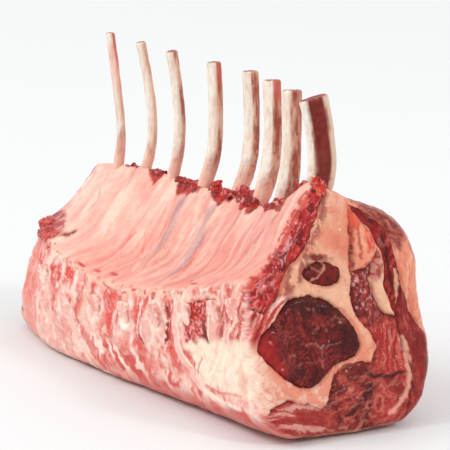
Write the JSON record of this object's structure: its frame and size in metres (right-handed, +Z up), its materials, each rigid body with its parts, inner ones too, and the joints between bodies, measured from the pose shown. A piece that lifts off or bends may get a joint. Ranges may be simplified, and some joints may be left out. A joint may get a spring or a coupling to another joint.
{
  "type": "raw rack of lamb",
  "caption": "Raw rack of lamb: frenched rib bones rising from an uncut loin, with a wet pale rib membrane, a marbled eye on the cut face and a fat cap.",
  "frame": {"origin": "middle of the underside, on the surface that it rests on", "axes": "+Z up along the rib bones, +X along the rack to the thick near end, -Y the sawn chine side, +Y the fat cap"},
  "size_m": [0.2636, 0.0962, 0.1562],
  "materials": {
    "bone": "smooth damp bone",
    "rib_membrane": "wet gloss",
    "fat": "moist satin",
    "lean": "wet, fibrous",
    "dark_lean": "wet, marbled"
  },
  "bodies": {
    "root": {"rib_bone_1": "bone", "rib_bone_2": "bone", "rib_bone_3": "bone", "rib_bone_4": "bone", "rib_bone_5": "bone", "rib_bone_6": "bone", "rib_bone_7": "bone", "rib_bone_8": "bone", "rib_wall": "rib_membrane", "fat_bed": "fat", "outer_fat": "fat", "cap_lean": "dark_lean", "cap_flap": "fat", "fat_strip": "fat", "outer_lean": "lean", "back_muscle": "lean", "loin_eye": "dark_lean", "eye_companion": "dark_lean"}
  },
  "joints": []
}
